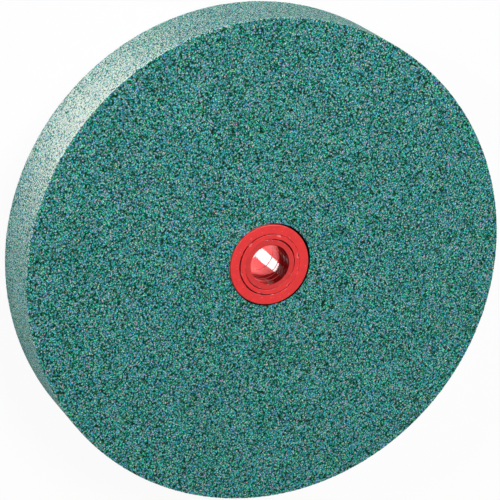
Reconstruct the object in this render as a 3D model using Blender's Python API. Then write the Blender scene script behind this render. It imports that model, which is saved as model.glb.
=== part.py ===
"""Bench grinding wheel with nested plastic reducing rings in its bore.

The wheel lies on its rear face, with its axis along +Z and the origin at the
centre of that face. Two sets of three rings reduce the bore: the front set hangs
from a lip on the front face, and the rear set is pushed in behind it.
Every length is in metres.
"""

import math

import bmesh
import bpy

# Abrasive wheel: a plain straight disc
wheel_diameter = 0.2032
wheel_thickness = 0.03175
wheel_bore = 0.03175
wheel_arris = 0.0004
wheel_steps = 152

# Reducing rings, from the spindle outwards
spindle_bore = 0.0160
inner_ring_wall = 0.00235
middle_ring_wall = 0.00165
ring_clearance = 0.0003
ring_bevel = 0.00025
ring_steps = 120

# Lip of the front outer ring, which stops it at the wheel's face
lip_overhang = 0.0011
lip_height = 0.0008
lip_round = 0.0004
lip_round_steps = 3

# How deep each set sits
front_sleeve_depth = 0.0165
rear_recess = 0.0020

# Lugs along the bores of the outer and middle rings, which hold the ring inside
lug_count = 6
lug_height = 0.00025
outer_ring_lug_angle = 48
middle_ring_lug_angle = 24

# Sloped notches in the middle ring's outer edge, in line with its lugs
notch_depth = 0.0010
notch_height = 0.0008

# Ribs round the front inner ring's bore, whose crests touch the spindle
rib_count = 3
rib_height = 0.00015
first_rib_depth = 0.0037
rib_pitch = 0.00345

# Radii that follow from the sizes above
wheel_radius = wheel_diameter / 2
wheel_bore_radius = wheel_bore / 2
inner_ring_bore_radius = spindle_bore / 2 + rib_height
inner_ring_radius = inner_ring_bore_radius + inner_ring_wall
lug_room = ring_clearance + lug_height
middle_ring_bore_radius = inner_ring_radius + lug_room
middle_ring_radius = middle_ring_bore_radius + middle_ring_wall
outer_ring_bore_radius = middle_ring_radius + lug_room
outer_ring_radius = wheel_bore_radius - ring_clearance
lip_radius = wheel_bore_radius + lip_overhang
lip_seat_radius = lip_radius + ring_clearance

# Heights and lengths that follow
front_face_height = wheel_thickness + lip_height
lip_seat_height = wheel_thickness - ring_clearance
front_ring_length = lip_height + front_sleeve_depth
rear_set_top = wheel_thickness - front_sleeve_depth - ring_clearance
rear_ring_length = rear_set_top - rear_recess


def clear_scene():
    """Removes every object that the scene holds."""
    for old_object in list(bpy.data.objects):
        bpy.data.objects.remove(old_object, do_unlink=True)


def surface(name, colour, roughness):
    """Returns a plain non-metallic material."""
    material = bpy.data.materials.new(name)
    material.use_nodes = True
    shader = material.node_tree.nodes["Principled BSDF"]
    shader.inputs["Base Color"].default_value = (*colour, 1.0)
    shader.inputs["Roughness"].default_value = roughness
    shader.inputs["Metallic"].default_value = 0.0
    return material


def turn(profile, steps):
    """Revolves a closed outline of (radius, height) points about Z."""
    body = bmesh.new()
    points = [body.verts.new((radius, 0.0, height)) for radius, height in profile]
    outline = [body.edges.new((points[i - 1], points[i])) for i in range(len(points))]
    bmesh.ops.spin(
        body,
        geom=points + outline,
        axis=(0.0, 0.0, 1.0),
        angle=math.tau,
        steps=steps,
        use_merge=True,
    )
    bmesh.ops.recalc_face_normals(body, faces=body.faces)
    return body


def vertex_radius(vertex):
    """Distance of a vertex from the axis."""
    return math.hypot(vertex.co.x, vertex.co.y)


def set_vertex_radius(vertex, radius):
    """Moves a vertex straight towards or away from the axis."""
    scale = radius / vertex_radius(vertex)
    vertex.co.x *= scale
    vertex.co.y *= scale


def is_at_lug(vertex, first_angle):
    """Tells whether a vertex is on the line of one of the evenly spaced lugs."""
    spacing = 360 / lug_count
    half_step = 180 / ring_steps
    azimuth = math.degrees(math.atan2(vertex.co.y, vertex.co.x))
    past_lug = (azimuth - first_angle) % spacing
    return min(past_lug, spacing - past_lug) < half_step


def press_lugs(body, middle_radius, first_angle):
    """Draws the bore inwards along each lug's line, which leaves a ridge there."""
    for vertex in body.verts:
        radius = vertex_radius(vertex)
        if radius < middle_radius and is_at_lug(vertex, first_angle):
            set_vertex_radius(vertex, radius - lug_height)


def press_notches(body, middle_radius, first_angle):
    """Slopes the outer wall inwards towards the face, on each lug's line."""
    for vertex in body.verts:
        radius = vertex_radius(vertex)
        depth = -vertex.co.z
        if radius < middle_radius or depth > notch_height:
            continue
        if is_at_lug(vertex, first_angle):
            share = 1 - depth / notch_height
            set_vertex_radius(vertex, min(radius, middle_ring_radius - notch_depth * share))


def rounded_corner(radius, size, steps):
    """Points of the quarter round between a ring's face and its outer wall."""
    points = []
    for step in range(steps + 1):
        angle = math.radians(90 * step / steps)
        points.append((radius - size + size * math.sin(angle), size * math.cos(angle) - size))
    return points


def add_object(name, body, material, parent=None):
    """Makes a smooth-shaded object from a turned body."""
    mesh = bpy.data.meshes.new(name)
    body.to_mesh(mesh)
    body.free()
    mesh.shade_smooth()
    mesh.set_sharp_from_angle(angle=math.radians(30))
    mesh.materials.append(material)
    new_object = bpy.data.objects.new(name, mesh)
    bpy.context.scene.collection.objects.link(new_object)
    new_object.parent = parent
    return new_object


def add_ring_set(name, face_height, tilt):
    """Adds the empty that carries a set, at its face with +Z pointing out."""
    empty = bpy.data.objects.new(name, None)
    empty.empty_display_size = lip_radius
    empty.location = (0.0, 0.0, face_height)
    empty.rotation_euler = (tilt, 0.0, 0.0)
    bpy.context.scene.collection.objects.link(empty)
    return empty


def build_wheel(material):
    """The disc, with its arrises slightly worn and the lip's seat cut back by the clearance."""
    body = turn(
        [
            (lip_seat_radius, lip_seat_height),
            (lip_seat_radius, wheel_thickness),
            (wheel_radius - wheel_arris, wheel_thickness),
            (wheel_radius, wheel_thickness - wheel_arris),
            (wheel_radius, wheel_arris),
            (wheel_radius - wheel_arris, 0.0),
            (wheel_bore_radius + wheel_arris, 0.0),
            (wheel_bore_radius, wheel_arris),
            (wheel_bore_radius, lip_seat_height - wheel_arris),
            (wheel_bore_radius + wheel_arris, lip_seat_height),
        ],
        wheel_steps,
    )
    add_object("abrasive_wheel", body, material)


def build_outer_ring(name, length, has_lip, material, parent):
    """The ring in the wheel's bore. In front, its lip lies over the wheel's face."""
    if has_lip:
        outside = rounded_corner(lip_radius, lip_round, lip_round_steps)
        outside += [(lip_radius, -lip_height), (outer_ring_radius, -lip_height)]
    else:
        outside = [(outer_ring_radius - ring_bevel, 0.0), (outer_ring_radius, -ring_bevel)]
    bore = [
        (outer_ring_bore_radius, -length),
        (outer_ring_bore_radius, -ring_bevel),
        (outer_ring_bore_radius + ring_bevel, 0.0),
    ]
    body = turn(outside + [(outer_ring_radius, -length)] + bore, ring_steps)
    middle_radius = (outer_ring_bore_radius + outer_ring_radius) / 2
    press_lugs(body, middle_radius, outer_ring_lug_angle)
    add_object(name, body, material, parent)


def build_middle_ring(name, length, material, parent):
    """The thin ring between the other two, with lugs inside and notches outside."""
    body = turn(
        [
            (middle_ring_radius - ring_bevel, 0.0),
            (middle_ring_radius, -ring_bevel),
            (middle_ring_radius, -notch_height),
            (middle_ring_radius, -length),
            (middle_ring_bore_radius, -length),
            (middle_ring_bore_radius, -ring_bevel),
            (middle_ring_bore_radius + ring_bevel, 0.0),
        ],
        ring_steps,
    )
    middle_radius = (middle_ring_bore_radius + middle_ring_radius) / 2
    press_lugs(body, middle_radius, middle_ring_lug_angle)
    press_notches(body, middle_radius, middle_ring_lug_angle)
    add_object(name, body, material, parent)


def build_inner_ring(name, length, ribs, material, parent):
    """The ring round the spindle, with its ribs listed from the deepest up."""
    rib_points = []
    for rib in reversed(range(ribs)):
        crest = -(first_rib_depth + rib * rib_pitch)
        rib_points += [
            (inner_ring_bore_radius, crest - rib_height),
            (inner_ring_bore_radius - rib_height, crest),
            (inner_ring_bore_radius, crest + rib_height),
        ]
    body = turn(
        [
            (inner_ring_radius - ring_bevel, 0.0),
            (inner_ring_radius, -ring_bevel),
            (inner_ring_radius, -length),
            (inner_ring_bore_radius, -length),
            *rib_points,
            (inner_ring_bore_radius, -ring_bevel),
            (inner_ring_bore_radius + ring_bevel, 0.0),
        ],
        ring_steps,
    )
    add_object(name, body, material, parent)


clear_scene()
abrasive = surface("green_abrasive", (0.048, 0.195, 0.181), 0.9)
red_plastic = surface("red_plastic", (0.72, 0.045, 0.045), 0.35)
inner_red_plastic = surface("inner_red_plastic", (0.60, 0.038, 0.038), 0.25)

build_wheel(abrasive)

front_set = add_ring_set("front_ring_set", front_face_height, 0.0)
build_outer_ring("front_outer_ring", front_ring_length, True, red_plastic, front_set)
build_middle_ring("front_middle_ring", front_ring_length, red_plastic, front_set)
build_inner_ring("front_inner_ring", front_ring_length, rib_count, inner_red_plastic, front_set)

rear_set = add_ring_set("rear_ring_set", rear_recess, math.pi)
build_outer_ring("rear_outer_ring", rear_ring_length, False, red_plastic, rear_set)
build_middle_ring("rear_middle_ring", rear_ring_length, red_plastic, rear_set)
build_inner_ring("rear_inner_ring", rear_ring_length, 0, inner_red_plastic, rear_set)
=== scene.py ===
import math

import bmesh
import bpy
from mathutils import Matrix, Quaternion, Vector


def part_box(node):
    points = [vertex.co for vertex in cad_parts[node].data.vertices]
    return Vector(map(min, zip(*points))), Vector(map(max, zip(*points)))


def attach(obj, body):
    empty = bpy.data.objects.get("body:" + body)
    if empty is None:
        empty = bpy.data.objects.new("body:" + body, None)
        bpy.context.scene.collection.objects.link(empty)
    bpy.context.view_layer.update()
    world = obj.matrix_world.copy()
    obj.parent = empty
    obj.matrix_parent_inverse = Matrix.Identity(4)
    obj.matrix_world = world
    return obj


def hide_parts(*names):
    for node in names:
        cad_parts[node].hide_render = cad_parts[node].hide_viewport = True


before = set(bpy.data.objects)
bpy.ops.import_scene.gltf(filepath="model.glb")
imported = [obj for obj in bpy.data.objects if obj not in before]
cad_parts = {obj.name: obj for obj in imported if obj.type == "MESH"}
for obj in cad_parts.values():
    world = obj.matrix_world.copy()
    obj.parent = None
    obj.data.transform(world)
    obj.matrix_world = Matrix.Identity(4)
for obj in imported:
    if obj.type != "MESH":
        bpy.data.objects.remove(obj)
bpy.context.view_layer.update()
print("frame loaded, nodes:", len(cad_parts))


def wallOf(node):  # inner and outer radius, bottom and top of a turned node
    low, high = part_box(node)
    inner = min(math.hypot(v.co.x, v.co.y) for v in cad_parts[node].data.vertices)
    return inner, high.x, low.z, high.z


hairline = 0.000002  # places nearer than this are the same
wheelBore, wheelRadius, wheelBottom, wheelTop = wallOf("abrasive_wheel")
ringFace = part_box("front_inner_ring")[1].z


# Selecting and turning

def deselectAll():
    bpy.ops.object.select_all(action="DESELECT")


def startSection(name, inner, outer, bottom, top):
    # an upright rectangle across the wall, in the XZ plane, left open so that its outline can be turned
    deselectAll()
    middle = ((inner + outer) / 2, 0, (bottom + top) / 2)
    bpy.ops.mesh.primitive_plane_add(size=1, location=middle, rotation=(math.pi / 2, 0, 0))
    piece = bpy.context.object
    piece.name = name
    piece.data.name = name
    piece.scale = (outer - inner, top - bottom, 1)
    bpy.ops.object.transform_apply(location=True, rotation=True, scale=True)
    bpy.ops.object.mode_set(mode="EDIT")
    bpy.ops.mesh.select_mode(type="VERT")
    bpy.ops.mesh.select_all(action="SELECT")
    bpy.ops.mesh.delete(type="ONLY_FACE")
    return piece


def pick(piece, wanted):  # selects the points that pass the test, with the edges between them
    bpy.ops.mesh.select_all(action="DESELECT")
    mesh = bmesh.from_edit_mesh(piece.data)
    for vertex in mesh.verts:
        vertex.select = wanted(vertex.co)
    mesh.select_flush(True)
    bmesh.update_edit_mesh(piece.data)


def cutAcross(place, direction):  # a new point wherever the outline crosses this plane
    bpy.ops.mesh.select_all(action="SELECT")
    bpy.ops.mesh.bisect(plane_co=place, plane_no=direction, threshold=hairline)


def divide(piece, wanted, spacing):  # shares out each straight stretch that the test picks
    bpy.ops.mesh.select_all(action="DESELECT")
    mesh = bmesh.from_edit_mesh(piece.data)
    for edge in mesh.edges:
        edge.select = wanted((edge.verts[0].co + edge.verts[1].co) / 2)
    lengths = [edge.calc_length() for edge in mesh.edges if edge.select]
    bmesh.update_edit_mesh(piece.data)
    if lengths:
        bpy.ops.mesh.subdivide(number_cuts=max(1, round(max(lengths) / spacing) - 1))


def cutStep(place, direction):  # two cuts a hair apart, so that what lies past them can move as a step
    cutAcross(place, direction)
    cutAcross(Vector(place) - Vector(direction) * 4 * hairline, direction)


def movePoints(piece, wanted, shift):
    pick(piece, wanted)
    bpy.ops.transform.translate(value=shift)


def bevelCorners(piece, wanted, size, steps):
    pick(piece, wanted)
    bpy.ops.mesh.bevel(offset=size, segments=steps, affect="VERTICES")


def turn(steps):  # spins the outline into a closed, outward-facing body
    bpy.ops.mesh.select_all(action="SELECT")
    bpy.ops.mesh.spin(steps=steps, angle=math.tau, center=(0, 0, 0), axis=(0, 0, 1))
    bpy.ops.mesh.select_all(action="SELECT")
    bpy.ops.mesh.remove_doubles(threshold=hairline)
    bpy.ops.mesh.normals_make_consistent(inside=False)


def nearTurn(azimuth, first, spread):  # true within spread degrees of one of the evenly spaced lugs
    spacing = 360 / ring["lugs"]
    past = (azimuth - first) % spacing
    return min(past, spacing - past) < spread


def fromAxis(point):
    return math.hypot(point.x, point.y)


def aside(azimuth, distance):  # a short way out from the axis
    return Vector((math.cos(math.radians(azimuth)), math.sin(math.radians(azimuth)), 0)) * distance


# Shader maths

class Wire:  # a socket that can be used in plain arithmetic
    def __init__(self, paint, socket):
        self.paint = paint
        self.socket = socket

    def maths(self, operation, *values):
        return self.paint.add("Math", {"operation": operation}, dict(enumerate(values)))

    def __add__(self, other):
        return self.maths("ADD", self, other)

    def __radd__(self, other):
        return self.maths("ADD", other, self)

    def __sub__(self, other):
        return self.maths("SUBTRACT", self, other)

    def __rsub__(self, other):
        return self.maths("SUBTRACT", other, self)

    def __mul__(self, other):
        return self.maths("MULTIPLY", self, other)

    def __rmul__(self, other):
        return self.maths("MULTIPLY", other, self)

    def __truediv__(self, other):
        return self.maths("DIVIDE", self, other)

    def __pow__(self, other):
        return self.maths("POWER", self, other)

    def beside(self, output):  # another output of the same node
        return Wire(self.paint, self.socket.node.outputs[output])

    def above(self, level, fade):  # 0 below the level, 1 past level + fade
        return self.paint.add("MapRange", {"interpolation_type": "SMOOTHSTEP", "clamp": True},
                              {0: self, 1: level, 2: level + fade, 3: 0.0, 4: 1.0})

    def below(self, level, fade):  # 1 below the level, 0 past level + fade
        return 1 - self.above(level, fade)


class Paint:  # one material and its nodes
    def __init__(self, name):
        self.material = bpy.data.materials.new(name)
        self.material.use_nodes = True
        self.tree = self.material.node_tree
        self.shader = self.tree.nodes["Principled BSDF"]

    def add(self, kind, settings=None, inputs=None, output=0):
        node = self.tree.nodes.new("ShaderNode" + kind)
        for key, value in (settings or {}).items():
            if key == "stops":
                stops = node.color_ramp.elements
                while len(stops) < len(value):
                    stops.new(1.0)
                for stop, (place, colour) in zip(stops, value):
                    stop.position = place
                    stop.color = (*colour, 1)
            else:
                setattr(node, key, value)
        self.fill(node, inputs or {})
        return Wire(self, node.outputs[output])

    def fill(self, node, inputs):
        for key, value in inputs.items():
            if isinstance(value, Wire):
                self.tree.links.new(value.socket, node.inputs[key])
            elif isinstance(value, tuple) and node.inputs[key].type == "RGBA":
                node.inputs[key].default_value = (*value, 1)
            else:
                node.inputs[key].default_value = value

    def mix(self, share, first, second, blend="MIX"):
        settings = {"data_type": "RGBA", "blend_type": blend, "clamp_result": True}
        return self.add("Mix", settings, {0: share, 6: first, 7: second}, 2)

    def measure(self):  # the place in the object, its three parts, and its distance from the axis
        place = self.add("TexCoord", output=3)
        across = self.add("SeparateXYZ", {}, {0: place})
        along = across.beside(1)
        return place, across, along, across.beside(2), (across * across + along * along) ** 0.5

    def layer(self, share, other):  # lays another shader over the main one
        both = self.add("MixShader", {}, {0: share, 1: Wire(self, self.shader.outputs[0]), 2: other})
        self.tree.links.new(both.socket, self.tree.nodes["Material Output"].inputs[0])

    def finish(self, **inputs):
        self.fill(self.shader, {key.replace("_", " "): value for key, value in inputs.items()})
        return self.material


def shade(*screen):  # a screen colour, 0 to 255, as the linear colour that shaders use
    parts = [part / 255 for part in screen]
    return tuple(part / 12.92 if part < 0.0404 else ((part + 0.055) / 1.055) ** 2.4 for part in parts)


# The abrasive

grit = {
    "lump": 0.00072,  # sizes in metres
    "grain": 0.00034,
    "fineGrain": 0.00021,
    "tintScale": 0.97,  # tint cells differ a little from fine grains, so that hue and tone change apart
    "patchScale": 60.0,
    "grainWeight": 0.35,  # how far each pattern moves the tone along the ramp
    "fineWeight": 0.3,
    "lumpWeight": 0.9,
    "lumpLevel": 0.675,
    "patchWeight": 0.08,
    "pore": (0.08, shade(4, 36, 34)),  # place on the ramp, and colour
    "dark": (0.30, shade(22, 40, 26)),
    "middle": (0.52, shade(36, 130, 104)),
    "light": (0.74, shade(92, 150, 182)),
    "glint": (0.94, shade(196, 214, 205)),
    "tintFloor": (0.06, 0.66, 0.60),  # the least red, green and blue that a grain keeps
    "tintPower": 8.0,
    "specular": 0.12,
    "roughness": 0.9,
    "glossFrom": (0.86, 0.05),  # the tone of the glossier grains, and its fade
    "gloss": 0.4,
    "relief": 0.00010,
    "reliefStrength": 0.8,
    "grainRelief": 0.8,
    # painted shade: the sunken seat round the bush's lip is darkened almost to black
    "seatShade": shade(2, 14, 14),
    "seatShadeShare": 0.95,
    "seatFrom": 0.0001,
    "seatTo": (0.0186, 0.0001),
}

dustAndSheen = {  # the pale cut grains that dressing leaves on the rim, and a painted sheen on two opposite sides
    "colour": shade(236, 246, 236),
    "depth": 0.0005,
    "fleck": 0.0007,
    "fleckWeight": 1.5,
    "scatter": 0.25,
    "level": 0.45,
    "fade": 0.03,
    "stain": 0.2,
    "least": 0.19,  # how much of the rim is dusted all round, and the painted sheen added on the two sides facing +Y and -Y, which grows towards the front face
    "sheenSides": 0.25,
    "sheenSidesPower": 6.0,
    "sheenTowardsFace": 0.20,
    "brighter": 0.4,
}


def gritMaterial():
    paint = Paint("green_grit")
    place, _, along, height, radius = paint.measure()

    coarse = paint.add("TexVoronoi", {}, {"Vector": place, "Scale": 1 / grit["grain"]}, 1)
    tone = paint.add("SeparateColor", {}, {0: coarse})
    fine = paint.add("TexVoronoi", {}, {"Vector": place, "Scale": 1 / grit["fineGrain"]}, 1)
    fineTone = paint.add("SeparateColor", {}, {0: fine})
    patches = paint.add("TexNoise", {}, {"Vector": place, "Scale": grit["patchScale"], "Detail": 2.0})
    crevices = paint.add("TexVoronoi", {}, {"Vector": place, "Scale": 1 / grit["lump"]})
    grainy = tone * grit["grainWeight"] + fineTone * grit["fineWeight"]
    lumpy = grit["lumpLevel"] - crevices * grit["lumpWeight"]
    mixed = grainy + lumpy + (patches - 0.5) * grit["patchWeight"]
    stops = [grit[name] for name in ("pore", "dark", "middle", "light", "glint")]
    green = paint.add("ValToRGB", {"stops": stops}, {0: mixed})
    tintScale = grit["tintScale"] / grit["fineGrain"]
    tint = paint.add("TexVoronoi", {}, {"Vector": place, "Scale": tintScale}, 1)
    strong = paint.add("Gamma", {}, {"Color": tint, "Gamma": grit["tintPower"]})
    floor = grit["tintFloor"]
    gain = tuple((1 - least) * (grit["tintPower"] + 1) for least in floor)
    factor = paint.add("VectorMath", {"operation": "MULTIPLY_ADD"}, {0: strong, 1: gain, 2: floor})
    varied = paint.mix(1.0, green, factor, "MULTIPLY")

    rim = radius.above(wheelRadius - dustAndSheen["depth"], dustAndSheen["depth"] / 2)
    # painted sheen: the rim is paler on the two sides facing +Y and -Y, more so towards the front face
    sheenSides = (along / radius) * (along / radius)
    upward = height / wheelTop
    share = dustAndSheen["least"] + (sheenSides ** dustAndSheen["sheenSidesPower"]) * (dustAndSheen["sheenSides"] + upward * dustAndSheen["sheenTowardsFace"])
    flecks = paint.add("TexVoronoi", {}, {"Vector": place, "Scale": 1 / dustAndSheen["fleck"]}, 1)
    lot = flecks.beside(0) * dustAndSheen["fleckWeight"] + tone.beside(1) * dustAndSheen["scatter"] - dustAndSheen["level"]
    pale = rim * (share - lot).above(0.0, dustAndSheen["fade"])
    stained = paint.mix(dustAndSheen["stain"], dustAndSheen["colour"], flecks, "MULTIPLY")
    brighter = 1 + rim * dustAndSheen["brighter"]
    cut = paint.add("VectorMath", {"operation": "SCALE"}, {0: varied, "Scale": brighter})
    dustedAndSheened = paint.mix(pale, cut, stained)
    # painted shade in the sunken seat round the bush's lip
    sunk = (wheelTop - grit["seatFrom"] - height).above(0.0, grit["seatFrom"])
    inSeat = sunk * radius.below(*grit["seatTo"])
    seatShaded = paint.mix(inSeat * grit["seatShadeShare"], dustedAndSheened, grit["seatShade"])

    crumbs = paint.add("TexNoise", {}, {"Vector": place, "Scale": 1 / grit["fineGrain"], "Detail": 1.0})
    rough = crumbs - coarse.beside(0) * grit["grainRelief"]
    relief = {"Strength": grit["reliefStrength"], "Distance": grit["relief"], "Height": rough}
    bump = paint.add("Bump", {}, relief)
    roughness = grit["roughness"] - tone.above(*grit["glossFrom"]) * grit["gloss"]
    paint.shader.inputs["Specular IOR Level"].default_value = grit["specular"]
    return paint.finish(Base_Color=seatShaded, Roughness=roughness, Normal=bump)


wheel = {
    "steps": 1000,
    "arris": 0.00025,
    "arrisSteps": 2,
    "wornZone": 0.0011,
    "fineSpacing": 0.00028,
    "faceSpacing": 0.0060,
    "rimSpacing": 0.0011,
    "pitDepth": 0.00008,
    "pitSize": 0.0011,
    "chipDepth": 0.00034,
    "chipSize": 0.0009,
    "smoothAngle": 40,
    "seatRadius": 0.01663,
    "seatDepth": 0.003,
    "seatFirst": 13,  # azimuth of the first of the radii below, which are evenly spaced
    "seatEdge": (0.01746, 0.01755, 0.01750, 0.01779, 0.01786, 0.01780, 0.01781, 0.01798, 0.01773,
                 0.01752, 0.01717, 0.01663, 0.01663, 0.01663, 0.01663, 0.01682, 0.01690, 0.01720),
}


def seatEdge(azimuth):  # where the ragged recess round the bush's lip ends
    edge = wheel["seatEdge"]
    past = (azimuth - wheel["seatFirst"]) % 360 * len(edge) / 360
    first = int(past) % len(edge)
    share = 0.5 - 0.5 * math.cos(math.pi * (past - int(past)))
    return edge[first] + (edge[(first + 1) % len(edge)] - edge[first]) * share


def buildWheel(material):
    piece = startSection("crumbled_wheel", wheelBore, wheelRadius, wheelBottom, wheelTop)
    bevelCorners(piece, lambda point: True, wheel["arris"], wheel["arrisSteps"])
    worn = wheel["wornZone"]
    seat = wheel["seatRadius"]
    cutAcross((wheelRadius - worn, 0, 0), (1, 0, 0))
    for height in (wheelBottom + worn, wheelTop - worn):
        cutAcross((0, 0, height), (0, 0, 1))
    cutStep((seat, 0, 0), (1, 0, 0))
    arrisBottom = wheelTop - wheel["arris"]
    movePoints(piece, lambda point: point.x < seat - hairline and point.z > arrisBottom - hairline,
               (0, 0, -wheel["seatDepth"]))

    def fromFace(point):
        return min(point.z - wheelBottom, wheelTop - point.z)

    def onArris(point):
        return wheelRadius - point.x < worn and fromFace(point) < worn

    def onFace(point):
        return point.x > seat and not onArris(point) and fromFace(point) < hairline

    def onRim(point):
        return not onArris(point) and wheelRadius - point.x < hairline

    divide(piece, onFace, wheel["faceSpacing"])
    divide(piece, onRim, wheel["rimSpacing"])
    divide(piece, onArris, wheel["fineSpacing"])
    turn(wheel["steps"])
    bpy.ops.object.mode_set(mode="OBJECT")

    arrises = piece.vertex_groups.new(name="arrises")
    for vertex in piece.data.vertices:
        if abs(fromAxis(vertex.co) - seat) < 5 * hairline and vertex.co.z > wheelTop / 2:
            wider = seatEdge(math.degrees(math.atan2(vertex.co.y, vertex.co.x))) / fromAxis(vertex.co)
            vertex.co.x *= wider
            vertex.co.y *= wider
        away = math.hypot(fromAxis(vertex.co) - wheelRadius, fromFace(vertex.co))
        if away < worn:
            arrises.add([vertex.index], 1 - away / worn, "REPLACE")

    for name, size, depth, group in (
        ("pits", wheel["pitSize"], wheel["pitDepth"], ""),
        ("chips", wheel["chipSize"], wheel["chipDepth"], "arrises"),
    ):
        texture = bpy.data.textures.new(name, type="CLOUDS")
        texture.noise_scale = size
        texture.noise_depth = 1
        texture.intensity = 1.0
        displace = piece.modifiers.new(name, "DISPLACE")
        displace.texture = texture
        displace.mid_level = 1.0  # the surface only ever goes inwards
        displace.strength = depth
        displace.vertex_group = group
        bpy.ops.object.modifier_apply(modifier=name)
    bpy.ops.object.shade_smooth_by_angle(angle=math.radians(wheel["smoothAngle"]))
    piece.data.materials.append(material)
    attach(piece, "root")
    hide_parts("abrasive_wheel")
    print("wheel:", len(piece.data.polygons), "faces")
    return piece


# The plastic rings

plastic = {
    "red": shade(226, 38, 40),
    "innerRed": shade(222, 24, 26),
    "roughness": 0.34,
    "boreRoughness": 0.08,
    "roughnessSpread": 0.4,
    "cloudScale": 420.0,
    "cloudy": (0.35, 0.3),
    "darker": 0.9,
    "speckScale": 2600.0,
    "specksFrom": (0.985, 0.01),
    "speckShare": 0.35,
    "grainScale": 3200.0,
    "relief": 0.00003,
    "reliefStrength": 0.3,
}

paintedHighlights = {  # painted highlights on the rings, where notches, edges, rib crests and the sets' joint catch the light; each pair is a level and the stretch that it fades over
    "colour": shade(244, 150, 154),
    "uneven": (0.5, 0.12),
    "nearFace": (-0.001, 0.0005),  # from the wheel's face
    "notchTurn": (0.84, 0.12),
    "notchFrom": (0.0119, 0.0003),  # radii
    "notchTo": (0.01273, 0.0001),
    "notchShare": 0.55,
    "edgeFrom": (0.01272, 0.0001),
    "edgeTo": (0.0130, 0.0001),
    "edgeShare": 0.35,
    "wallTo": (0.0084, 0.0001),
    "ribReach": (0.00012, 0.00008),
    "ribShare": 0.6,
    "jointFrom": (0.01478, 0.0001),  # heights of the joint between the two sets
    "jointTo": (0.01508, 0.00004),
    "jointWall": (0.0086, 0.0001),
    "jointShare": 0.8,
    "rimFrom": (0.01030, 0.0001),  # the inner ring's outer edge
    "rimProud": (0.0, 0.0004),
    "rimShare": 0.3,
}

gapShade = {  # painted shade down in the joints between the rings, left out at the notches and, in the inner joint, kept towards +X and -X
    "colour": shade(14, 2, 3),
    "share": 0.95,
    "sunk": 0.00009,
    "sunkFade": 0.0001,
    "middleFrom": (0.0126, 0.0001),
    "middleTo": (0.0135, 0.0001),
    "innerFrom": (0.0101, 0.0001),
    "innerTo": (0.0109, 0.0001),
    "innerSides": (0.72, 0.16),
}

boreShade = {  # painted shade at the bore's mouth on one side, with a dull finish, longer on two sides
    "colour": shade(104, 8, 10),
    "share": 0.92,
    "highlightsClear": 0.7,
    "dullShare": 0.9,
    "dullRoughness": 0.8,
    "facing": (-0.574, 0.819),
    "side": (-0.4, 0.7),
    "deepSide": (-1.0, 0.4),
    "deepFrom": (0.0045, 0.002),
    "end": (0.0081, 0.0005),
    "rightLonger": 0.0050,
    "rightSide": (0.0, 1.0),
    "leftLonger": 0.0018,
    "leftSide": (0.0, 0.6),
}

ring = {
    "steps": 360,
    "faceEdge": 0.00014,
    "jointEdge": 0.0001,
    "rearJointEdge": 0.00022,
    "edgeSteps": 3,
    "jointReach": 0.00014,
    "flatFrom": 0.0001,
    "clearance": 0.0003,  # from the wheel's bore, as in the solids
    "lugs": 6,
    "smoothAngle": 35,
}

outerRing = {
    "lugAzimuth": 48,
    "lugHeight": 0.0002,
    "lugSpread": 4.0,
    "lipRound": 0.0004,
    "lipSteps": 6,
    "lipIn": 0.0001,
    "closeIn": 0.00022,
}

middleRing = {
    "lugAzimuth": 24,
    "lugHeight": 0.00015,
    "lugSpread": 4.0,
    "closeIn": 0.00027,
    "oval": 0.020,
    "notchDepth": 0.0010,
    "notchHeight": 0.0008,
    "notchSpread": 5.0,
    "notchRows": (0.3, 0.6, 1.0),  # shares of the notch's height
    "offCentre": 0.00025,
    "offAzimuth": 138,
}

innerRing = {
    "ribHeight": 0.00015,
    "ribDepths": (0.0037, 0.00715, 0.0106),
    "offCentre": 0.00007,
    "offAzimuth": 138,
}


def nearNotch(across, along):  # 1 beside each of the middle ring's notches
    angle = along.maths("ARCTAN2", along, across)
    swing = (angle - math.radians(middleRing["lugAzimuth"])) * ring["lugs"]
    return swing.maths("COSINE", swing).above(*paintedHighlights["notchTurn"])


def notchHighlights(across, along, height, radius, cloud):  # painted highlights on the middle ring's notches and its outer edge
    notch = nearNotch(across, along) * radius.above(*paintedHighlights["notchFrom"]) * radius.below(*paintedHighlights["notchTo"])
    edge = radius.above(*paintedHighlights["edgeFrom"]) * radius.below(*paintedHighlights["edgeTo"]) * cloud.above(*paintedHighlights["uneven"])
    front = (height - wheelTop).above(*paintedHighlights["nearFace"])
    return front * (notch * paintedHighlights["notchShare"] + edge * paintedHighlights["edgeShare"])


def ribHighlights(across, along, height, radius, cloud):  # painted highlights on the ribs' crests, the sets' joint and the inner ring's outer edge
    crest = 0
    for depth in innerRing["ribDepths"]:
        away = height - (ringFace - depth)
        crest = away.maths("ABSOLUTE", away).below(*paintedHighlights["ribReach"]) + crest
    ribs = radius.below(*paintedHighlights["wallTo"]) * crest
    joint = height.above(*paintedHighlights["jointFrom"]) * height.below(*paintedHighlights["jointTo"])
    joint = joint * radius.below(*paintedHighlights["jointWall"])
    proud = (height - wheelTop).above(*paintedHighlights["rimProud"])
    edge = radius.above(*paintedHighlights["rimFrom"]) * cloud.above(*paintedHighlights["uneven"]) * proud
    return ribs * paintedHighlights["ribShare"] + joint * paintedHighlights["jointShare"] + edge * paintedHighlights["rimShare"]


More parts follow.
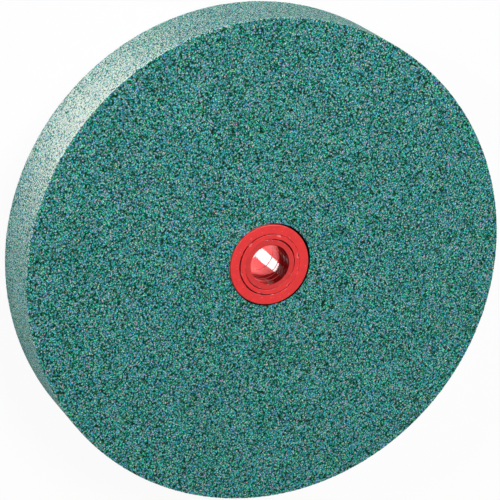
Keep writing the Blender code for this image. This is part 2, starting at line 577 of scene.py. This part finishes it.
# painted shade on the bore's wall near the mouth, on the side that faces the given direction
def boreMouthShade(across, along, height, radius):
    towards = boreShade["facing"]
    facing = (across * towards[0] + along * towards[1]) / radius
    depth = ringFace - height
    nearMouth = facing.above(*boreShade["side"])
    deep = depth.above(*boreShade["deepFrom"]) * facing.above(*boreShade["deepSide"])
    lean = across / radius
    right = lean.above(*boreShade["rightSide"]) * boreShade["rightLonger"]
    left = (0 - lean).above(*boreShade["leftSide"]) * boreShade["leftLonger"]
    ends = (depth - right - left).below(*boreShade["end"])
    return radius.below(*paintedHighlights["wallTo"]) * nearMouth.maths("MAXIMUM", nearMouth, deep) * ends


# painted shade on the joint walls below the rings' face
def paintedGapShade(across, along, height, radius):
    middle = radius.above(*gapShade["middleFrom"]) * radius.below(*gapShade["middleTo"])
    openMiddle = middle * (1 - nearNotch(across, along))
    inner = radius.above(*gapShade["innerFrom"]) * radius.below(*gapShade["innerTo"])
    sideways = across / radius
    openInner = inner * (sideways * sideways).above(*gapShade["innerSides"])
    sunk = (ringFace - gapShade["sunk"] - height).above(0.0, gapShade["sunkFade"])
    return sunk * (openMiddle + openInner)


def plasticMaterial(name, colour, roughness, paintHighlights, mouthShaded=None):
    paint = Paint(name)
    place, across, along, height, radius = paint.measure()
    cloud = paint.add("TexNoise", {}, {"Vector": place, "Scale": plastic["cloudScale"], "Detail": 3.0})
    darker = tuple(part * plastic["darker"] for part in colour)
    moulded = paint.mix(cloud.above(*plastic["cloudy"]), darker, colour)
    specks = paint.add("TexVoronoi", {}, {"Vector": place, "Scale": plastic["speckScale"]}, 1)
    speck = paint.add("SeparateColor", {}, {0: specks}).above(*plastic["specksFrom"])
    # painted highlights from the function passed in, mixed below with the pale specks
    worn = paintHighlights(across, along, height, radius, cloud)
    speckedAndHighlit = paint.mix(speck * plastic["speckShare"] + worn, moulded, paintedHighlights["colour"])
    # painted shade in the joints between the rings
    gapShadeShare = paintedGapShade(across, along, height, radius) * gapShade["share"]
    surface = paint.mix(gapShadeShare, speckedAndHighlit, gapShade["colour"])
    grain = paint.add("TexNoise", {}, {"Vector": place, "Scale": plastic["grainScale"], "Detail": 2.0})
    relief = {"Strength": plastic["reliefStrength"], "Distance": plastic["relief"], "Height": grain}
    bump = paint.add("Bump", {}, relief)
    finish = roughness + (cloud - 0.5) * roughness * plastic["roughnessSpread"]
    # painted shade at the bore's mouth, laid over with a dull finish and cleared where the painted
    # highlights are
    if mouthShaded:
        mouthShadeShare = mouthShaded(across, along, height, radius)
        surface = paint.mix(mouthShadeShare * (boreShade["share"] - worn * boreShade["highlightsClear"]), surface, boreShade["colour"])
        matt = {"Base Color": surface, "Roughness": boreShade["dullRoughness"], "Specular IOR Level": 0.0}
        paint.layer(mouthShadeShare * boreShade["dullShare"], paint.add("BsdfPrincipled", {}, matt))
    return paint.finish(Base_Color=surface, Roughness=finish, Normal=bump)


def pressLine(piece, wanted, radius, depth, azimuth, spread):
    # draws the picked wall towards the axis at each lug, fading out to both sides
    stride = 360 / ring["steps"]
    reach = int(spread / stride)
    for offset in range(1 - reach, reach):
        share = 0.5 + 0.5 * math.cos(math.pi * offset * stride / spread)

        def onLine(point):
            here = math.degrees(math.atan2(point.y, point.x))
            return wanted(point) and nearTurn(here, azimuth + offset * stride, stride / 2)

        pick(piece, onLine)
        scale = 1 - depth * share / radius
        bpy.ops.transform.resize(value=(scale, scale, 1), center_override=(0, 0, 0))


def keepFlat(radii, heights):  # rows just past the rounded edges, so that the walls between shade flat
    for radius in radii:
        cutAcross((radius, 0, 0), (1, 0, 0))
    for height in heights:
        cutAcross((0, 0, height), (0, 0, 1))


def finishRing(piece, node, material):
    bpy.ops.object.mode_set(mode="OBJECT")
    bpy.ops.object.shade_smooth_by_angle(angle=math.radians(ring["smoothAngle"]))
    piece.data.materials.append(material)
    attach(piece, "root")
    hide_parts(node)
    print(piece.name + ":", len(piece.data.polygons), "faces")
    return piece


def buildOuterRing(name, node, faceUp, material):
    crest, outer, bottom, top = wallOf(node)
    bore = crest + outerRing["lugHeight"] - outerRing["closeIn"]
    lip = outer - (wheelBore - ring["clearance"])
    hasLip = top > wheelTop
    if hasLip:
        outer -= outerRing["lipIn"]
        lip -= outerRing["lipIn"]
    sleeve = outer - lip if hasLip else outer
    face = top if faceUp else bottom
    piece = startSection(name, bore, sleeve, bottom, top)

    def onFaceEdge(point):
        return abs(point.z - face) < hairline and (point.x < bore + hairline or not hasLip)

    bevelCorners(piece, onFaceEdge, ring["faceEdge"], ring["edgeSteps"])
    if hasLip:  # the collar over the wheel's face is drawn out of the sleeve's wall
        cutStep((0, 0, wheelTop), (0, 0, 1))
        movePoints(piece, lambda point: point.x > sleeve - hairline and point.z > wheelTop - hairline,
                   (lip, 0, 0))
        bevelCorners(piece, lambda point: point.x > outer - hairline and point.z > top - hairline,
                     outerRing["lipRound"], outerRing["lipSteps"])
    past = ring["faceEdge"] + ring["flatFrom"]
    rounding = outerRing["lipRound"] + ring["flatFrom"] if hasLip else past
    inwards = -1 if faceUp else 1
    keepFlat((bore + past, outer - rounding), (face + inwards * past,))
    turn(ring["steps"])
    middle = (bore + sleeve) / 2
    azimuth = outerRing["lugAzimuth"] if faceUp else -outerRing["lugAzimuth"]
    pressLine(piece, lambda point: fromAxis(point) < middle, bore, outerRing["lugHeight"],
              azimuth, outerRing["lugSpread"])
    return finishRing(piece, node, material)


def buildMiddleRing(name, node, faceUp, material):
    crest, outer, bottom, top = wallOf(node)
    bore = crest + middleRing["lugHeight"] - middleRing["closeIn"]
    face = top if faceUp else bottom
    height = middleRing["notchHeight"]
    piece = startSection(name, bore, outer, bottom, top)
    bevelCorners(piece, lambda point: abs(point.z - face) < hairline, ring["faceEdge"], ring["edgeSteps"])
    inwards = -1 if faceUp else 1
    past = ring["faceEdge"] + ring["flatFrom"]
    rows = middleRing["notchRows"]
    keepFlat((bore + past, outer - past), [face + inwards * row * height for row in rows])
    turn(ring["steps"])
    middle = (bore + outer) / 2
    pick(piece, lambda point: fromAxis(point) < middle)
    oval = middleRing["oval"]
    bpy.ops.transform.resize(value=(1 + oval, 1 - oval, 1), center_override=(0, 0, 0))
    azimuth = middleRing["lugAzimuth"] if faceUp else -middleRing["lugAzimuth"]
    pressLine(piece, lambda point: fromAxis(point) < middle, bore, middleRing["lugHeight"],
              azimuth, middleRing["lugSpread"])
    levels = (0.0, ring["faceEdge"] / 2, rows[0] * height, rows[1] * height)
    for i, level in enumerate(levels):
        reach = (levels[i + 1] if i + 1 < len(levels) else height) - level

        def inBand(point):
            deep = abs(point.z - face)
            return fromAxis(point) > middle and level - hairline < deep < level + reach / 2

        pressLine(piece, inBand, outer, middleRing["notchDepth"] * (1 - level / height),
                  azimuth, middleRing["notchSpread"])
    movePoints(piece, lambda point: True, aside(middleRing["offAzimuth"], middleRing["offCentre"]))
    return finishRing(piece, node, material)


def buildInnerRing(name, node, faceUp, material):
    crest, outer, bottom, top = wallOf(node)
    rib = innerRing["ribHeight"] if faceUp else 0  # only the front ring has ribs
    bore = crest + rib
    face, joint = (top, bottom) if faceUp else (bottom, top)
    piece = startSection(name, bore, outer, bottom, top)
    bevelCorners(piece, lambda point: abs(point.z - face) < hairline, ring["faceEdge"], ring["edgeSteps"])
    edge = ring["jointEdge"] if faceUp else ring["rearJointEdge"]
    bevelCorners(piece, lambda point: abs(point.z - joint) < hairline, edge, ring["edgeSteps"])
    movePoints(piece, lambda point: abs(point.z - joint) < 1.5 * edge,
               (0, 0, math.copysign(ring["jointReach"], joint - face)))
    past = ring["faceEdge"] + ring["flatFrom"]
    inwards = -1 if faceUp else 1
    keepFlat((bore + past, outer - past), (face + inwards * past, joint - 2 * inwards * past))
    for depth in innerRing["ribDepths"] if faceUp else ():
        height = face - depth
        for level in (height - rib, height, height + rib):
            cutAcross((0, 0, level), (0, 0, 1))
        movePoints(piece, lambda point: point.x < bore + hairline and abs(point.z - height) < hairline,
                   (-rib, 0, 0))
    turn(ring["steps"])
    movePoints(piece, lambda point: True, aside(innerRing["offAzimuth"], innerRing["offCentre"]))
    return finishRing(piece, node, material)


def build():
    whole = buildWheel(gritMaterial())
    red = plasticMaterial("red_moulding", plastic["red"], plastic["roughness"], notchHighlights)
    innerRed = plasticMaterial("inner_red_moulding", plastic["innerRed"], plastic["boreRoughness"],
                               ribHighlights, boreMouthShade)
    inner = []
    for end, faceUp in (("front", True), ("rear", False)):
        moulded = end + "_moulded_"
        buildOuterRing(moulded + "outer_ring", end + "_outer_ring", faceUp, red)
        buildMiddleRing(moulded + "middle_ring", end + "_middle_ring", faceUp, red)
        inner.append(buildInnerRing(moulded + "inner_ring", end + "_inner_ring", faceUp, innerRed))
    return whole, inner


grindingWheel, innerRings = build()


# Floor, light and camera

studio = {
    "floorSize": 3.0,
    "floorHole": 0.012,
    "roundSteps": 96,
    "floorColour": (0.8, 0.8, 0.8),
    "floorGlow": 0.94,
    "ambient": 0.12,
}

well = {  # a dark shaft under the floor's hole, with a glowing floor of its own that the bore mirrors
    "radius": 0.0352,
    "depth": 0.06,
    "drop": 0.001,
    "bottomFade": 0.002,
    "dark": (0.01, 0.01, 0.01),
    "glow": 1.0,
}

lamps = {  # azimuth, elevation and turn in degrees, distance and size in metres
    "key": {"azimuth": 283, "elevation": 33, "distance": 1.2, "size": 0.10, "watts": 5.0},
    "fill": {"azimuth": 185, "elevation": 62, "distance": 1.1, "size": 0.5, "watts": 9.0},
    "rim": {"azimuth": 270, "elevation": 4, "distance": 0.24, "size": 0.08, "watts": 0.06},
    "bush": {"azimuth": 185, "elevation": 62, "distance": 1.1, "size": 0.3, "watts": 9.8},
    "bore": {"place": (0.0072, -0.0272, -0.058), "size": (0.033, 0.0157), "turn": 14, "watts": 0.0207},
    "deep": {"place": (0, 0, -0.006), "size": 0.016, "watts": 0.0070},
}

view = {
    "place": (0.0005, -0.5123, 1.0172),
    "aim": (0.0005, -0.0107, 0.03175),
    "roll": 129.70,
    "lens": 198.08,
    "sensor": 36,
}


def whiteTo(tree):  # 1 for what the camera, a gloss or a clear material sees
    path = tree.nodes.new("ShaderNodeLightPath")
    total = path.outputs["Is Camera Ray"]
    for name in ("Is Glossy Ray", "Is Transmission Ray"):
        add = tree.nodes.new("ShaderNodeMath")
        add.operation = "MAXIMUM"
        tree.links.new(total, add.inputs[0])
        tree.links.new(path.outputs[name], add.inputs[1])
        total = add.outputs[0]
    return total


def mattPaint(name, colour):
    paint = Paint(name)
    paint.fill(paint.shader, {"Base Color": colour, "Roughness": 1.0, "Specular IOR Level": 0.0})
    return paint


def whiteGlow(paint, strength):
    return paint.add("Emission", {}, {"Color": (1.0, 1.0, 1.0), "Strength": strength})


def buildFloor():
    deselectAll()
    steps = studio["roundSteps"]
    bpy.ops.mesh.primitive_circle_add(vertices=steps, radius=studio["floorHole"], fill_type="NOTHING")
    floor = bpy.context.object
    floor.name = "floor"
    bpy.ops.object.mode_set(mode="EDIT")
    bpy.ops.mesh.select_all(action="SELECT")
    bpy.ops.mesh.extrude_edges_move()
    grow = studio["floorSize"] / studio["floorHole"]
    bpy.ops.transform.resize(value=(grow, grow, 1), center_override=(0, 0, 0))
    bpy.ops.mesh.select_all(action="SELECT")
    bpy.ops.mesh.normals_make_consistent(inside=False)
    bpy.ops.object.mode_set(mode="OBJECT")
    paint = mattPaint("floor_white", studio["floorColour"])
    paint.layer(Wire(paint, whiteTo(paint.tree)) * studio["floorGlow"], whiteGlow(paint, 1.0))
    floor.data.materials.append(paint.material)


def buildWell():
    deselectAll()
    middle = (0, 0, -well["depth"] / 2 - well["drop"])
    bpy.ops.mesh.primitive_cylinder_add(vertices=studio["roundSteps"], radius=well["radius"],
                                        depth=well["depth"], location=middle)
    shaft = bpy.context.object
    shaft.name = "well"
    bpy.ops.object.transform_apply(location=True, rotation=False, scale=False)
    bpy.ops.object.mode_set(mode="EDIT")
    pick(shaft, lambda point: point.z > -well["depth"] / 2)
    bpy.ops.mesh.delete(type="ONLY_FACE")
    bpy.ops.mesh.select_all(action="SELECT")
    bpy.ops.mesh.flip_normals()
    bpy.ops.object.mode_set(mode="OBJECT")
    paint = mattPaint("well_wall", well["dark"])
    height = paint.add("SeparateXYZ", {}, {0: paint.add("TexCoord", output=3)}).beside(2)
    bottom = height.below(-well["depth"], well["bottomFade"])
    seen = bottom.maths("MAXIMUM", bottom, paint.add("LightPath"))  # white to the camera all over
    paint.layer(seen, whiteGlow(paint, well["glow"]))
    shaft.data.materials.append(paint.material)


def buildWorld():
    world = bpy.context.scene.world or bpy.data.worlds.new("studio")
    bpy.context.scene.world = world
    world.use_nodes = True
    tree = world.node_tree
    background = tree.nodes["Background"]
    background.inputs["Color"].default_value = (1, 1, 1, 1)
    strength = tree.nodes.new("ShaderNodeMix")
    strength.inputs[2].default_value = studio["ambient"]
    strength.inputs[3].default_value = 1.0
    tree.links.new(whiteTo(tree), strength.inputs[0])
    tree.links.new(strength.outputs[0], background.inputs["Strength"])


def around(azimuth, elevation, distance):  # a place round the wheel, in degrees and metres
    a, e = math.radians(azimuth), math.radians(elevation)
    return Vector((math.cos(a) * math.cos(e), math.sin(a) * math.cos(e), math.sin(e))) * distance


def addLamp(name, place, target):
    deselectAll()
    bpy.ops.object.light_add(type="AREA", location=place)
    lamp = bpy.context.object
    lamp.name = name
    lamp.rotation_euler = (Vector(target) - Vector(place)).to_track_quat("-Z", "Y").to_euler()
    lamp.data.energy = lamps[name]["watts"]
    lamp.visible_camera = False
    return lamp


def addLamps():
    for name in ("key", "fill", "rim", "bush"):
        setting = lamps[name]
        place = around(setting["azimuth"], setting["elevation"], setting["distance"])
        lamp = addLamp(name, place, (0, 0, wheelTop if name != "rim" else wheelTop / 2))
        lamp.data.shape = "DISK"
        lamp.data.size = setting["size"]
        if name == "rim":
            lightOnly(lamp, [grindingWheel], "INCLUDE")
        else:
            lightOnly(lamp, innerRings, "INCLUDE" if name == "bush" else "EXCLUDE")
    place = Vector(lamps["bore"]["place"])
    lamp = addLamp("bore", place, place + Vector((0, 0, 1)))
    lamp.rotation_euler = (math.pi, 0, math.radians(lamps["bore"]["turn"]))
    lamp.data.shape = "RECTANGLE"
    lamp.data.size, lamp.data.size_y = lamps["bore"]["size"]
    place = Vector(lamps["deep"]["place"])
    lamp = addLamp("deep", place, place + Vector((0, 0, 1)))
    lamp.data.shape = "DISK"
    lamp.data.size = lamps["deep"]["size"]
    lamp.visible_glossy = False  # it lights the bore's walls, and no wall mirrors it
    lightOnly(lamp, innerRings, "INCLUDE")


def lightOnly(lamp, pieces, state):  # whether the lamp lights only these pieces, or all but these
    group = bpy.data.collections.new(lamp.name + "_pieces")
    for piece in pieces:
        group.objects.link(piece)
    for member in group.collection_objects:
        member.light_linking.link_state = state
    lamp.light_linking.receiver_collection = group


def addCamera():
    deselectAll()
    bpy.ops.object.camera_add(location=view["place"])
    camera = bpy.context.object
    look = (Vector(view["aim"]) - Vector(view["place"])).to_track_quat("-Z", "Y")
    camera.rotation_euler = (look @ Quaternion((0, 0, 1), math.radians(view["roll"]))).to_euler()
    camera.data.lens = view["lens"]
    camera.data.sensor_width = view["sensor"]
    bpy.context.scene.camera = camera


buildFloor()
buildWell()
buildWorld()
addLamps()
addCamera()
bpy.context.scene.view_settings.view_transform = "Standard"
print("studio ready")
